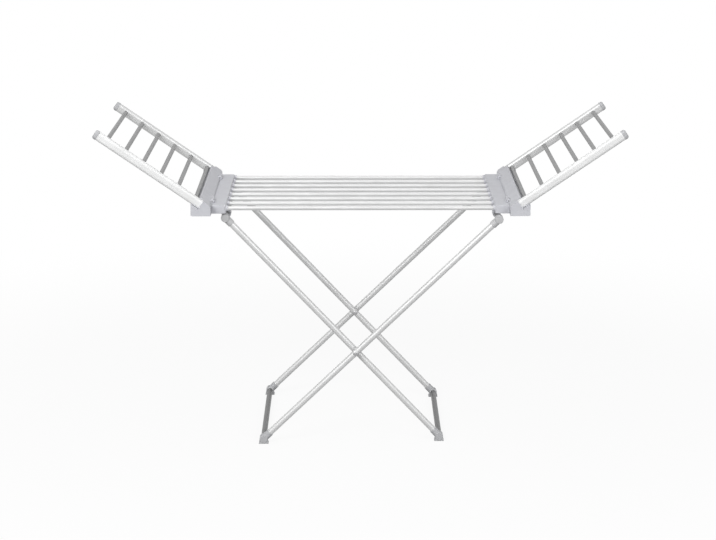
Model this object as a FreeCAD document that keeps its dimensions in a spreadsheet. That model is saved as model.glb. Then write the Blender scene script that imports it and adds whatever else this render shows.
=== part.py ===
import FreeCAD, Part
import math
import os
import re
import Sketcher

# Heated clothes airer: a flat panel of heated bars stands on two crossed leg frames and carries
# a raised wing of heated bars at each end. Sizes are in millimetres and degrees.
# X runs along the airer, Y from front to back and Z up. The origin is on the floor, under the
# middle of the panel. Each moving frame has its own local frame with its origin on its axis.

SIZES = {
    # whole airer and the hinge axes of the wings
    "airer_depth": 542.0,         # over the outsides of the wings, along Y
    "hinge_half": 419.4,          # hinge axis to the middle of the airer
    "hinge_height": 703.0,        # hinge axis above the floor
    "wing_raise": 34.66,          # slope of an opened wing
    # heated bars
    "bar_diameter": 12.0,
    "bar_wall": 1.2,
    "heater_room": 0.3,           # heating cord to the inside of its bar
    "panel_bar_count": 8,
    "bar_margin": 10.5,           # outermost panel bar to the end of its end box
    "wing_bar_count": 6,
    "tip_to_bar": 39.5,           # tip of the wing to the outermost bar
    "root_to_bar": 8.0,           # root box to the innermost bar
    "bar_seat": 6.0,              # end of a panel bar inside its end box
    "bar_bite": 4.0,              # end of a wing bar inside its rail
    "bar_fit": 0.1,               # bar to the hole that holds it
    # boxes at both sides of a hinge
    "box_height": 27.5,
    "top_gap": 0.5,               # hinge axis above the tops of the boxes
    "box_wall": 2.5,
    "hinge_wall": 8.4,            # thick wall beside the hinge
    "seam": 0.4,                  # gap between the boxes where the wing rests on its stop
    "corner_round": 6.0,
    "edge_round": 2.5,
    "cover_fit": 0.15,            # cover to the walls of its box
    "end_depth": 40.0,            # panel's end box along X
    "end_inset": 35.5,            # end of the end box inside the depth of the airer
    "end_drop": 4.5,              # top of the end box below that of the root box
    "socket_diameter": 16.0,      # collar round a bar at the end box
    "socket_reach": 6.0,
    "root_depth": 36.0,           # wing's root box, from the hinge axis along the wing
    "root_gap": 0.5,              # root box to the sides of the rails
    # wing rails and their tip caps
    "rail_inset": 15.0,           # rail to the outside of the airer
    "rail_width": 18.0,
    "rail_margin": 0.5,           # top and bottom of a rail inside those of the root box
    "rail_wall": 1.5,
    "rail_fit": 0.15,
    "rail_start": 24.0,           # hinge axis to the lower end of a rail
    "cradle_reach": 55.6,         # hinge axis to the upright outer end of the cradle below a rail
    "cradle_round": 4.0,
    "wing_reach": 379.0,          # hinge axis to the tip of the wing
    "cap_length": 12.0,
    "cap_lip": 0.6,               # cap outside the outline of its rail
    "cap_plug": 14.0,             # plug of a cap inside its rail
    # hinges of the wings
    "hinge_inset": 60.5,          # middle of a hinge to the end of the end box
    "knuckle_radius": 5.5,
    "knuckle_width": 24.0,        # knuckle of the end box
    "side_knuckle_width": 12.0,   # knuckles of the root box, one at each side of it
    "knuckle_gap": 0.4,
    "knuckle_room": 0.6,          # knuckle to the box that it turns past
    "pin_diameter": 5.0,
    "pin_fit": 0.05,
    # crossed legs
    "pivot_drop": 15.0,           # axes of the legs' top bars below the end boxes
    "inner_pivot_inset": 37.4,    # inner frame's top bar to the left hinge axis
    "outer_pivot_inset": 29.0,    # outer frame's top bar to the right hinge axis
    "inner_leg_foot": 227.7,      # inner frame's foot bar, right of the middle
    "outer_leg_foot": 279.4,      # outer frame's foot bar, left of the middle
    "foot_axis_height": 13.5,
    "leg_inset": 31.0,            # outer frame's tubes to the outside of the airer
    "leg_offset": 24.0,           # inner frame's tubes to those of the outer frame
    "leg_diameter": 18.0,
    "leg_wall": 1.2,
    "cross_bar_diameter": 16.0,
    "cross_bar_wall": 1.2,
    "connector_radius": 11.6,     # barrel round a cross bar
    "sleeve_radius": 10.8,        # sleeve round a leg tube
    "connector_width": 24.0,
    "connector_reach": 26.0,      # sleeve of a connector along its leg tube
    "tube_stop": 10.0,            # end of a leg tube to the axis of the cross bar
    "connector_end_wall": 3.0,
    "connector_chamfer": 0.9,
    "tube_fit": 0.1,
    "sole_length": 28.0,
    "sole_neck": 21.0,
    "sole_inset": 1.0,            # sides of a sole inside the ends of its barrel
    "rivet_diameter": 8.0,
    "rivet_head": 14.0,
    "rivet_head_height": 2.5,
    "rivet_fit": 0.05,
    "spacer_diameter": 16.0,
    "spacer_room": 0.3,           # flat end of a spacer or head to a round tube
    # lugs below the end boxes: closed eyes on the left, open hooks on the right
    "lug_offset": 66.0,           # lug to the inner frame's tubes
    "lug_width": 24.0,
    "lug_radius": 13.5,
    "lug_margin": 2.0,            # root of a lug to the edge of its cover
    "eye_fit": 0.08,
    "hook_room": 0.3,
    "hook_mouth_room": 0.9,       # each side of the bar in the mouth of a hook
    # switch and cord inlet in the rear wall of the right end box
    "switch_place": 27.0,         # middle of the switch to the hinge axis
    "switch_length": 15.2,
    "switch_height": 10.6,
    "switch_flange": 1.6,
    "switch_depth": 11.0,
    "switch_rim": 1.2,            # rim of the flange round the rocker and its body
    "rocker_room": 0.3,
    "rocker_depth": 3.0,          # rocker below its pivot
    "rocker_rise": 3.2,           # raised ends of the rocker above its pivot
    "rocker_dip": 1.2,            # middle of the rocker below its raised ends
    "rocker_taper": 1.0,          # each end of the rocker, from its top to its base
    "rocker_tilt": 8.0,           # rocker in its off position
    "rocker_pin_radius": 1.0,
    "rocker_pin_bite": 0.8,
    "inlet_place": 10.0,          # middle of the cord inlet to the hinge axis
    "inlet_flange_radius": 6.5,
    "inlet_flange": 2.5,
    "inlet_radius": 5.0,
    "inlet_bore_radius": 3.5,
    "inlet_depth": 6.0,
    # wiring pieces inside the right end box
    "terminal_width": 15.0,
    "terminal_height": 12.0,
    "terminal_count": 4,
    "terminal_spacing": 16.0,
    "terminal_bore": 3.0,
    "cutout_radius": 7.5,
    "cutout_height": 9.0,
    "cutout_place": 70.0,         # thermal cut-out to the middle of the terminal block
}

doc = FreeCAD.newDocument("heated_clothes_airer")
sheet = doc.addObject("Spreadsheet::Sheet", "Dims")
for row, (name, size) in enumerate(SIZES.items(), start=1):
    sheet.set(f"A{row}", name)
    sheet.set(f"B{row}", str(size))
    sheet.setAlias(f"B{row}", name)
doc.recompute()

nodes = []
NEARNESS = 1e-4


# Formulas: text in the sheet's own names

def full(formula):
    """The formula with every sheet name made complete."""
    return re.sub(r"[a-z]\w*", lambda word: f"Dims.{word[0]}" if word[0] in SIZES else word[0], formula)


def value(formula):
    """The formula's present value as a plain number."""
    result = sheet.evalExpression(full(formula))
    return float(getattr(result, "Value", result))


def bind(thing, setting, formula):
    """Tie one setting of an object to the sheet."""
    thing.setExpression(setting, full(formula))


BOX_TOP = "(-top_gap)"
BOX_BOTTOM = "(-top_gap - box_height)"
BOX_MIDDLE = "(-top_gap - box_height / 2)"
END_INNER = "(-seam - end_depth)"
END_TOP = "(-top_gap - end_drop)"
END_ROOF = f"({END_TOP} - box_wall)"
END_HALF = "(airer_depth / 2 - end_inset)"
END_LENGTH = f"(2 * {END_HALF})"
RAIL_HALF = "(airer_depth / 2 - rail_inset)"
RAIL_HEIGHT = "(box_height - 2 * rail_margin)"
ROOT_HALF = f"({RAIL_HALF} - rail_width / 2 - root_gap)"
ROOT_ROOM_HALF = "(airer_depth / 2 - 2 * rail_inset - box_wall)"
ROOT_TAIL = "((top_gap + box_height) * tan(wing_raise))"
RAIL_END = "(wing_reach - cap_length)"
CRADLE_TOP = f"(({BOX_BOTTOM} + rail_margin - rail_fit) / cos(wing_raise))"
HINGE_PLACE = f"({END_HALF} - hinge_inset)"
PANEL_BAR_SPACING = f"(({END_LENGTH} - 2 * bar_margin) / (panel_bar_count - 1))"
WING_BAR_SPACING = "((wing_reach - tip_to_bar - root_depth - root_to_bar) / (wing_bar_count - 1))"
PANEL_BAR_LENGTH = "(2 * (hinge_half - seam - end_depth + bar_seat))"
WING_BAR_LENGTH = f"(2 * ({RAIL_HALF} - rail_width / 2 + bar_bite))"
PIVOT_Z = "(-top_gap - box_height - pivot_drop)"
PIVOT_HEIGHT = f"(hinge_height + {PIVOT_Z})"
LEGS = ("inner", "outer")
LEG_HALF = {"inner": "(airer_depth / 2 - leg_inset - leg_offset)", "outer": "(airer_depth / 2 - leg_inset)"}
LEG_PIVOT = {leg: f"(hinge_half - {leg}_pivot_inset)" for leg in LEGS}
LEG_RUN = {leg: f"({LEG_PIVOT[leg]} + {leg}_leg_foot)" for leg in LEGS}
LEG_DROP = f"({PIVOT_HEIGHT} - foot_axis_height)"
LEG_TILT = {leg: f"atan2({LEG_DROP}; {LEG_RUN[leg]})" for leg in LEGS}
LEG_LENGTH = {leg: f"sqrt({LEG_DROP}^2 + {LEG_RUN[leg]}^2)" for leg in LEGS}
PIVOT_SPAN = f"({LEG_PIVOT['inner']} + {LEG_PIVOT['outer']})"
CROSSING_SHARE = f"({PIVOT_SPAN} / ({LEG_RUN['inner']} + {LEG_RUN['outer']}))"
LUG_PLACE = f"({LEG_HALF['inner']} - lug_offset)"

# Local frames: place of the origin, turn about Z, then turn about Y
FRAMES = {
    "panel": ("0", f"hinge_height + {BOX_MIDDLE}", "0", "0"),
    "left_end": ("-hinge_half", "hinge_height", "180", "0"),
    "right_end": ("hinge_half", "hinge_height", "0", "0"),
    "left_wing": ("-hinge_half", "hinge_height", "180", "-wing_raise"),
    "right_wing": ("hinge_half", "hinge_height", "0", "-wing_raise"),
    "inner_leg": (f"-{LEG_PIVOT['inner']}", PIVOT_HEIGHT, "0", LEG_TILT["inner"]),
    "outer_leg": (LEG_PIVOT["outer"], PIVOT_HEIGHT, "180", LEG_TILT["outer"]),
}

# Side of the local Y axis on which the front and the rear of the airer lie
SIDES = {"panel": {"front": "-", "rear": ""}, "turned": {"front": "", "rear": "-"}}


def sides_of(frame):
    """Front and rear signs in a local frame."""
    return SIDES["turned" if FRAMES[frame][2] == "180" else "panel"]


# Bodies, sketches and features

def new_body(label, frame, is_node=True):
    """An empty body that stands in a local frame."""
    body = doc.addObject("PartDesign::Body", label)
    body.Label = label
    x, z, yaw, pitch = FRAMES[frame]
    base = f"create(<<vector>>; {x}; 0; {z})"
    turn = f"create(<<rotation>>; {yaw}; {pitch}; 0)"
    bind(body, "Placement", f"create(<<placement>>; {base}; {turn})")
    if is_node:
        nodes.append(body)
    return body


def group(label, pieces):
    """Identical separate pieces under one name."""
    together = doc.addObject("Part::Compound", label)
    together.Label = label
    together.Links = pieces
    nodes.append(together)


def origin_part(body, role):
    """One of the body's own planes or axes."""
    return next(part for part in body.Origin.OriginFeatures if part.Role == role)


def sketch_on(body, role, lift="0", shift=("0", "0"), turn="0"):
    """A sketch on one of the body's planes, lifted along its normal, shifted and turned in itself."""
    sketch = body.newObject("Sketcher::SketchObject", f"{body.Label}_sketch")
    sketch.AttachmentSupport = [(origin_part(body, role), "")]
    sketch.MapMode = "FlatFace"
    bind(sketch, "AttachmentOffset.Base.x", shift[0])
    bind(sketch, "AttachmentOffset.Base.y", shift[1])
    bind(sketch, "AttachmentOffset.Base.z", lift)
    bind(sketch, "AttachmentOffset.Rotation.Angle", turn)
    return sketch


def across(body, place="0", shift=("0", "0"), turn="0"):
    """A sketch square to Y at a place along Y. Its own axes lie along X and Z."""
    return sketch_on(body, "XZ_Plane", f"-({place})", shift, turn)


def fix(sketch, element, point, x, y):
    """Hold a point of a sketch at a place given from the sketch's origin."""
    for kind, formula in (("DistanceX", x), ("DistanceY", y)):
        index = sketch.addConstraint(Sketcher.Constraint(kind, -1, 1, element, point, value(formula)))
        bind(sketch, f"Constraints[{index}]", formula)


def circle(sketch, x, y, radius):
    """A circle of a given middle and radius."""
    middle = FreeCAD.Vector(value(x), value(y), 0)
    element = sketch.addGeometry(Part.Circle(middle, FreeCAD.Vector(0, 0, 1), value(radius)))
    fix(sketch, element, 3, x, y)
    index = sketch.addConstraint(Sketcher.Constraint("Radius", element, value(radius)))
    bind(sketch, f"Constraints[{index}]", radius)


def outline(sketch, corners, arcs=None):
    """A closed outline through corners. An arc leaves each corner that arcs gives a middle for."""
    arcs = arcs or {}
    points = [FreeCAD.Vector(value(x), value(y), 0) for x, y in corners]
    ends = []
    for number, start in enumerate(points):
        finish = points[(number + 1) % len(points)]
        if number in arcs:
            ends.append(arc_between(sketch, start, finish, arcs[number]))
        else:
            ends.append((sketch.addGeometry(Part.LineSegment(start, finish)), 1, 2))
    for number, (element, first, last) in enumerate(ends):
        following, following_first, _ = ends[(number + 1) % len(ends)]
        sketch.addConstraint(Sketcher.Constraint("Coincident", element, last, following, following_first))
        fix(sketch, element, first, *corners[number])


def arc_between(sketch, start, finish, centre):
    """An arc of under half a circle between two points, held by one place of its middle."""
    middle = FreeCAD.Vector(value(centre[0]), value(centre[1]), 0)
    from_angle = math.atan2(start.y - middle.y, start.x - middle.x)
    to_angle = math.atan2(finish.y - middle.y, finish.x - middle.x)
    forward = (start - middle).cross(finish - middle).z > 0
    angles = (from_angle, to_angle) if forward else (to_angle, from_angle)
    ring = Part.Circle(middle, FreeCAD.Vector(0, 0, 1), (start - middle).Length)
    element = sketch.addGeometry(Part.ArcOfCircle(ring, *angles))
    steep = abs(finish.y - start.y) > abs(finish.x - start.x)
    kind, formula = ("DistanceX", centre[0]) if steep else ("DistanceY", centre[1])
    index = sketch.addConstraint(Sketcher.Constraint(kind, -1, 1, element, 3, value(formula)))
    bind(sketch, f"Constraints[{index}]", formula)
    return (element, 1, 2) if forward else (element, 2, 1)


def rectangle(sketch, left, low, right, high):
    """An upright rectangle between two corners."""
    outline(sketch, [(left, low), (right, low), (right, high), (left, high)])


def centred_rectangle(sketch, x, y, half_width, half_height):
    """An upright rectangle about a middle."""
    rectangle(sketch, f"{x} - ({half_width})", f"{y} - ({half_height})",
              f"{x} + {half_width}", f"{y} + {half_height}")


def oval(sketch, x, y, half_width, half_height):
    """An upright oval about a middle: two half circles joined by straight sides."""
    low = f"({y} - ({half_height}) + {half_width})"
    high = f"({y} + {half_height} - ({half_width}))"
    left = f"{x} - ({half_width})"
    right = f"{x} + {half_width}"
    outline(sketch, [(left, low), (x, f"{y} - ({half_height})"), (right, low),
                     (right, high), (x, f"{y} + {half_height}"), (left, high)],
            {0: (x, low), 1: (x, low), 3: (x, high), 4: (x, high)})


def pad(body, sketch, length, both_ways=False, backwards=False):
    """Material drawn out of a sketch."""
    feature = body.newObject("PartDesign::Pad", f"{body.Label}_pad")
    feature.Profile = sketch
    bind(feature, "Length", length)
    feature.SideType = "Symmetric" if both_ways else "One side"
    feature.Reversed = backwards
    return feature


def pocket(body, sketch, depth=None, both_ways=False, backwards=False):
    """Material cut away from a sketch, right through where no depth is given."""
    feature = body.newObject("PartDesign::Pocket", f"{body.Label}_pocket")
    feature.Profile = sketch
    feature.SideType = "Symmetric" if both_ways else "One side"
    feature.Reversed = backwards
    if depth is None:
        feature.Type = "ThroughAll"
    else:
        bind(feature, "Length", depth)
    return feature


def revolve(body, sketch, axis):
    """Material turned round one of the sketch's own axes."""
    feature = body.newObject("PartDesign::Revolution", f"{body.Label}_turned")
    feature.Profile = sketch
    feature.ReferenceAxis = (sketch, [axis])
    feature.Angle = 360
    return feature


def repeat(body, feature, axis, pitch, count):
    """The same feature again at an even pitch along one of the body's axes."""
    pattern = body.newObject("PartDesign::LinearPattern", f"{body.Label}_row")
    pattern.Originals = [feature]
    pattern.Direction = (origin_part(body, axis), [""])
    pattern.Mode = "Spacing"
    bind(pattern, "Offset", pitch)
    bind(pattern, "Occurrences", count)
    body.Tip = pattern
    return pattern


def round_edges(body, feature, radius, wanted):
    """Round the edges of a feature whose two ends pass a test."""
    doc.recompute()
    names = []
    for number, edge in enumerate(feature.Shape.Edges, start=1):
        ends = [vertex.Point for vertex in edge.Vertexes]
        if len(ends) == 2 and wanted(*ends):
            names.append(f"Edge{number}")
    rounding = body.newObject("PartDesign::Fillet", f"{body.Label}_rounding")
    rounding.Base = (feature, names)
    bind(rounding, "Radius", radius)
    doc.recompute()
    return rounding


def near(number, formula):
    """Whether a coordinate lies where a formula says."""
    return abs(number - value(formula)) < NEARNESS


def upright_at(x):
    """A test for the upright edges in the plane of one X."""
    return lambda p, q: near(p.x, x) and near(q.x, x) and abs(p.y - q.y) < NEARNESS


def level_at(z, low_x, high_x):
    """A test for the edges in the plane of one Z between two places along X."""
    return lambda p, q: all(near(e.z, z) and value(low_x) <= e.x <= value(high_x) for e in (p, q))


# Tubes

def tube_along_x(label, frame, y, z, start, length, diameter, wall, is_node=True):
    """A straight tube along its frame's X. A wall of None makes it a solid rod."""
    body = new_body(label, frame, is_node)
    section = sketch_on(body, "YZ_Plane", start)
    circle(section, y, z, f"{diameter} / 2")
    if wall:
        circle(section, y, z, f"{diameter} / 2 - {wall}")
    pad(body, section, length)
    return body


def tube_along_y(label, frame, x, z, length, diameter, wall, is_node=True):
    """A straight tube along Y, centred on the middle plane. A wall of None makes it a solid rod."""
    body = new_body(label, frame, is_node)
    section = across(body)
    circle(section, x, z, f"{diameter} / 2")
    if wall:
        circle(section, x, z, f"{diameter} / 2 - {wall}")
    pad(body, section, length, both_ways=True)
    return body


HEATER_DIAMETER = "(bar_diameter - 2 * (bar_wall + heater_room))"


# Panel: heated bars between two end boxes

def panel_bar_place(number):
    """Place across the panel of one of its bars."""
    return f"({PANEL_BAR_SPACING} * ({number} - (panel_bar_count - 1) / 2))"


def panel_bars():
    """The long bars, each with a heating cord inside."""
    heaters = []
    for number in range(int(SIZES["panel_bar_count"])):
        place = panel_bar_place(number)
        start = f"(-{PANEL_BAR_LENGTH} / 2)"
        tube_along_x(f"panel_bar_{number + 1:02d}", "panel", place, "0", start, PANEL_BAR_LENGTH,
                     "bar_diameter", "bar_wall")
        heaters.append(tube_along_x(f"panel_heater_{number + 1:02d}", "panel", place, "0", start,
                                    PANEL_BAR_LENGTH, HEATER_DIAMETER, None, is_node=False))
    group("panel_heating_cords", heaters)


def hinge_knuckles(body, spans, clear_spans):
    """Barrels about the hinge axis on some spans of Y, and room for the other box's barrels."""
    for place, width in clear_spans:
        room = across(body, place)
        circle(room, "0", "0", "knuckle_radius + knuckle_room")
        pocket(body, room, f"{width} + 2 * knuckle_gap", both_ways=True)
    for place, width in spans:
        barrel = across(body, place)
        circle(barrel, "0", "0", "knuckle_radius")
        pad(body, barrel, width, both_ways=True)
    bore = across(body)
    circle(bore, "0", "0", "pin_diameter / 2 + pin_fit")
    pocket(body, bore, both_ways=True)


MIDDLE_KNUCKLES = [(f"({sign}{HINGE_PLACE})", "knuckle_width") for sign in ("", "-")]
SIDE_STEP = "(knuckle_width / 2 + knuckle_gap + side_knuckle_width / 2)"
SIDE_KNUCKLES = [(f"({sign}{HINGE_PLACE} {step} {SIDE_STEP})", "side_knuckle_width")
                 for sign in ("", "-") for step in ("+", "-")]


def end_housing(side):
    """Upper shell of an end box: collars for the bars on its inner wall, hinge knuckles on posts."""
    body = new_body(f"{side}_end_housing", f"{side}_end")
    profile = across(body)
    rectangle(profile, END_INNER, BOX_BOTTOM, "-seam", END_TOP)
    block = pad(body, profile, END_LENGTH, both_ways=True)
    corners = round_edges(body, block, "corner_round", upright_at(END_INNER))
    round_edges(body, corners, "edge_round", level_at(END_TOP, f"2 * {END_INNER}", "-hinge_wall"))
    cavity = sketch_on(body, "XY_Plane", BOX_BOTTOM)
    rectangle(cavity, f"{END_INNER} + box_wall", f"-{END_HALF} + box_wall", "-hinge_wall",
              f"{END_HALF} - box_wall")
    pocket(body, cavity, "box_height - end_drop - box_wall", backwards=True)
    collar = sketch_on(body, "YZ_Plane", f"{END_INNER} + box_wall")
    circle(collar, panel_bar_place(0), BOX_MIDDLE, "socket_diameter / 2")
    repeat(body, pad(body, collar, "box_wall + socket_reach", backwards=True), "Y_Axis",
           PANEL_BAR_SPACING, "panel_bar_count")
    socket = sketch_on(body, "YZ_Plane", f"{END_INNER} + box_wall")
    circle(socket, panel_bar_place(0), BOX_MIDDLE, "bar_diameter / 2 + bar_fit")
    repeat(body, pocket(body, socket, "box_wall + socket_reach"), "Y_Axis", PANEL_BAR_SPACING,
           "panel_bar_count")
    for place, width in MIDDLE_KNUCKLES:
        post = across(body, place)
        outline(post, [("-hinge_wall", END_ROOF), ("-seam", END_ROOF), ("-seam", "0"),
                       ("-knuckle_radius", "0"), ("-hinge_wall", END_TOP)])
        pad(body, post, width, both_ways=True)
    hinge_knuckles(body, MIDDLE_KNUCKLES, SIDE_KNUCKLES)
    return body


def end_cover(side, pivot):
    """Lower cover of an end box with the web of two lugs towards the pivot of a leg frame."""
    body = new_body(f"{side}_end_cover", f"{side}_end")
    plate = sketch_on(body, "XY_Plane", BOX_BOTTOM)
    inner = f"({END_INNER} + box_wall + cover_fit)"
    outer = "(-hinge_wall - cover_fit)"
    half = f"({END_HALF} - box_wall - cover_fit)"
    rectangle(plate, inner, f"-{half}", outer, half)
    pad(body, plate, "box_wall")
    for sign in ("", "-"):
        lug = across(body, f"({sign}{LUG_PLACE})")
        outline(lug, [(f"{pivot} - lug_radius", PIVOT_Z), (f"{pivot} + lug_radius", PIVOT_Z),
                      (f"{outer} - lug_margin", BOX_BOTTOM), (f"{inner} + lug_margin", BOX_BOTTOM)])
        pad(body, lug, "lug_width", both_ways=True)
        ring = across(body, f"({sign}{LUG_PLACE})")
        circle(ring, pivot, PIVOT_Z, "lug_radius")
        pad(body, ring, "lug_width", both_ways=True)
    return body


def left_end_cover():
    """Cover with two closed eyes, in which the inner leg frame's top bar turns."""
    pivot = "(-inner_pivot_inset)"
    body = end_cover("left", pivot)
    eye = across(body)
    circle(eye, pivot, PIVOT_Z, "cross_bar_diameter / 2 + eye_fit")
    pocket(body, eye, both_ways=True)


def right_end_cover():
    """Cover with two hooks open outwards, in which the outer leg frame's top bar lies."""
    pivot = "(-outer_pivot_inset)"
    body = end_cover("right", pivot)
    mouth = across(body)
    seat = "(cross_bar_diameter / 2 + hook_room)"
    opening = "(cross_bar_diameter / 2 + hook_mouth_room)"
    tip = f"({pivot} + 2 * lug_radius)"
    above = f"({PIVOT_Z} + {seat})"
    below = f"({PIVOT_Z} - {seat})"
    heel = f"({pivot} - {seat})"
    outline(mouth, [(pivot, below), (tip, f"{PIVOT_Z} - {opening}"), (tip, f"{PIVOT_Z} + {opening}"),
                    (pivot, above), (heel, PIVOT_Z)],
            {3: (pivot, PIVOT_Z), 4: (pivot, PIVOT_Z)})
    pocket(body, mouth, both_ways=True)


def hinge_pins():
    """One pin through the three knuckles of each hinge."""
    pins = []
    for side in ("left", "right"):
        for sign in ("", "-"):
            body = new_body(f"{side}_hinge_pin", f"{side}_end", is_node=False)
            section = across(body, f"({sign}{HINGE_PLACE})")
            circle(section, "0", "0", "pin_diameter / 2")
            pad(body, section, f"2 * ({SIDE_STEP} + side_knuckle_width / 2)", both_ways=True)
            pins.append(body)
    group("wing_hinge_pins", pins)


# Wings: heated bars between two rails on a root box

PLUG_HALF_WIDTH = "(rail_width / 2 - rail_wall - rail_fit)"
PLUG_HALF_HEIGHT = f"({RAIL_HEIGHT} / 2 - rail_wall - rail_fit)"
CAP_ROUND = "(rail_width / 3)"


def wing_root_housing(side):
    """Upper shell of a root box. Its slanted inner face stands upright on the end box's face."""
    body = new_body(f"{side}_wing_root_housing", f"{side}_wing")
    profile = across(body)
    rectangle(profile, f"-{ROOT_TAIL}", BOX_BOTTOM, "root_depth", BOX_TOP)
    block = pad(body, profile, f"2 * {ROOT_HALF}", both_ways=True)
    round_edges(body, block, "edge_round", level_at(BOX_TOP, "hinge_wall", "2 * root_depth"))
    for sign in ("", "-"):
        rail_mount(body, f"({sign}{RAIL_HALF})")
    stop = across(body, turn="-wing_raise")
    outline(stop, [("0", "knuckle_radius"), ("0", BOX_BOTTOM), ("2 * cradle_reach", BOX_BOTTOM),
                   ("2 * cradle_reach", f"3 * {BOX_BOTTOM}"), ("-cradle_reach", f"3 * {BOX_BOTTOM}"),
                   ("-cradle_reach", "knuckle_radius")])
    pocket(body, stop, both_ways=True)
    cavity = sketch_on(body, "XY_Plane", BOX_BOTTOM)
    rectangle(cavity, "hinge_wall", f"-{ROOT_ROOM_HALF}", "root_depth - box_wall", ROOT_ROOM_HALF)
    pocket(body, cavity, "box_height - box_wall", backwards=True)
    hinge_knuckles(body, SIDE_KNUCKLES, MIDDLE_KNUCKLES)


def rail_mount(body, place):
    """End of a root box: a block, a plug inside the rail and a level cradle below the rail."""
    block = across(body, place)
    rectangle(block, f"-{ROOT_TAIL}", BOX_BOTTOM, "rail_start", BOX_TOP)
    pad(body, block, "2 * rail_inset", both_ways=True)
    plug = sketch_on(body, "YZ_Plane", "rail_start")
    oval(plug, place, BOX_MIDDLE, PLUG_HALF_WIDTH, PLUG_HALF_HEIGHT)
    pad(body, plug, "root_depth - rail_start")
    cradle = across(body, place, turn="-wing_raise")
    toe = f"(({BOX_BOTTOM} - {CRADLE_TOP}) / tan(wing_raise))"
    heel = "(cradle_reach - cradle_round)"
    sole = f"({BOX_BOTTOM} + cradle_round)"
    rise = f"(cradle_reach * tan(wing_raise) + {CRADLE_TOP})"
    outline(cradle, [(toe, BOX_BOTTOM), (heel, BOX_BOTTOM), ("cradle_reach", sole), ("cradle_reach", rise)],
            {1: (heel, sole)})
    pad(body, cradle, "2 * rail_inset", both_ways=True)


def wing_root_cover(side):
    """Lower cover of a root box."""
    body = new_body(f"{side}_wing_root_cover", f"{side}_wing")
    plate = sketch_on(body, "XY_Plane", BOX_BOTTOM)
    half = f"({ROOT_ROOM_HALF} - cover_fit)"
    rectangle(plate, "hinge_wall + cover_fit", f"-{half}", "root_depth - box_wall - cover_fit", half)
    pad(body, plate, "box_wall")


def wing_bar_place(number):
    """Place along the wing of one of its bars, counted from the tip."""
    return f"(wing_reach - tip_to_bar - {WING_BAR_SPACING} * {number})"


def wing_rail(side, end, sign):
    """A rail from the root box to the tip, with a hole in its inner side for each bar."""
    body = new_body(f"{side}_wing_{end}_rail", f"{side}_wing")
    section = sketch_on(body, "YZ_Plane", "rail_start")
    middle = f"({sign}{RAIL_HALF})"
    oval(section, middle, BOX_MIDDLE, "rail_width / 2", f"{RAIL_HEIGHT} / 2")
    oval(section, middle, BOX_MIDDLE, "rail_width / 2 - rail_wall", f"{RAIL_HEIGHT} / 2 - rail_wall")
    pad(body, section, f"{RAIL_END} - rail_start")
    hole = across(body)
    last = wing_bar_place("(wing_bar_count - 1)")
    circle(hole, last, BOX_MIDDLE, "bar_diameter / 2 + bar_fit")
    cut = pocket(body, hole, RAIL_HALF, backwards=(sign == "-"))
    repeat(body, cut, "X_Axis", WING_BAR_SPACING, "wing_bar_count")


def tip_cap(side, end, sign):
    """A rounded cap on the tip of a rail, with a plug inside it."""
    body = new_body(f"{side}_{end}_cap", f"{side}_wing", is_node=False)
    middle = f"({sign}{RAIL_HALF})"
    cover = sketch_on(body, "YZ_Plane", RAIL_END)
    oval(cover, middle, BOX_MIDDLE, "rail_width / 2 + cap_lip", f"{RAIL_HEIGHT} / 2 + cap_lip")
    shell = pad(body, cover, "cap_length")
    round_edges(body, shell, CAP_ROUND, lambda p, q: near(p.x, "wing_reach") and near(q.x, "wing_reach"))
    plug = sketch_on(body, "YZ_Plane", RAIL_END)
    oval(plug, middle, BOX_MIDDLE, PLUG_HALF_WIDTH, PLUG_HALF_HEIGHT)
    pad(body, plug, "cap_plug", backwards=True)
    return body


def wing(side):
    """One whole wing."""
    wing_root_housing(side)
    wing_root_cover(side)
    signs = sides_of(f"{side}_wing")
    for end, sign in signs.items():
        wing_rail(side, end, sign)
    group(f"{side}_wing_tip_caps", [tip_cap(side, end, sign) for end, sign in signs.items()])
    heaters = []
    for number in range(int(SIZES["wing_bar_count"])):
        place = wing_bar_place(number)
        tube_along_y(f"{side}_wing_bar_{number + 1}", f"{side}_wing", place, BOX_MIDDLE, WING_BAR_LENGTH,
                     "bar_diameter", "bar_wall")
        heaters.append(tube_along_y(f"{side}_wing_heater_{number + 1}", f"{side}_wing", place, BOX_MIDDLE,
                                    WING_BAR_LENGTH, HEATER_DIAMETER, None, is_node=False))
    group(f"{side}_wing_heating_cords", heaters)


# Legs: two crossed frames of tubes, plastic connectors and cross bars

def connector(label, leg, sign, at, way):
    """A corner piece: a barrel round a cross bar and a sleeve round a leg tube."""
    body = new_body(label, f"{leg}_leg", is_node=False)
    middle = f"({sign}{LEG_HALF[leg]})"
    barrel = sketch_on(body, "XY_Plane", shift=(at, middle))
    side = "(connector_width / 2)"
    rim = "(connector_radius - connector_chamfer)"
    shoulder = f"({side} - connector_chamfer)"
    outline(barrel, [("0", f"-{side}"), (rim, f"-{side}"), ("connector_radius", f"-{shoulder}"),
                     ("connector_radius", shoulder), (rim, side), ("0", side)])
    revolve(body, barrel, "V_Axis")
    sleeve = sketch_on(body, "XY_Plane", shift=(at, middle))
    lip = "(connector_chamfer / 2)"
    mouth = f"({way}connector_reach)"
    outline(sleeve, [("0", "0"), (mouth, "0"), (mouth, f"sleeve_radius - {lip}"),
                     (f"{way}(connector_reach - {lip})", "sleeve_radius"), ("0", "sleeve_radius")])
    revolve(body, sleeve, "H_Axis")
    return body


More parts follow.
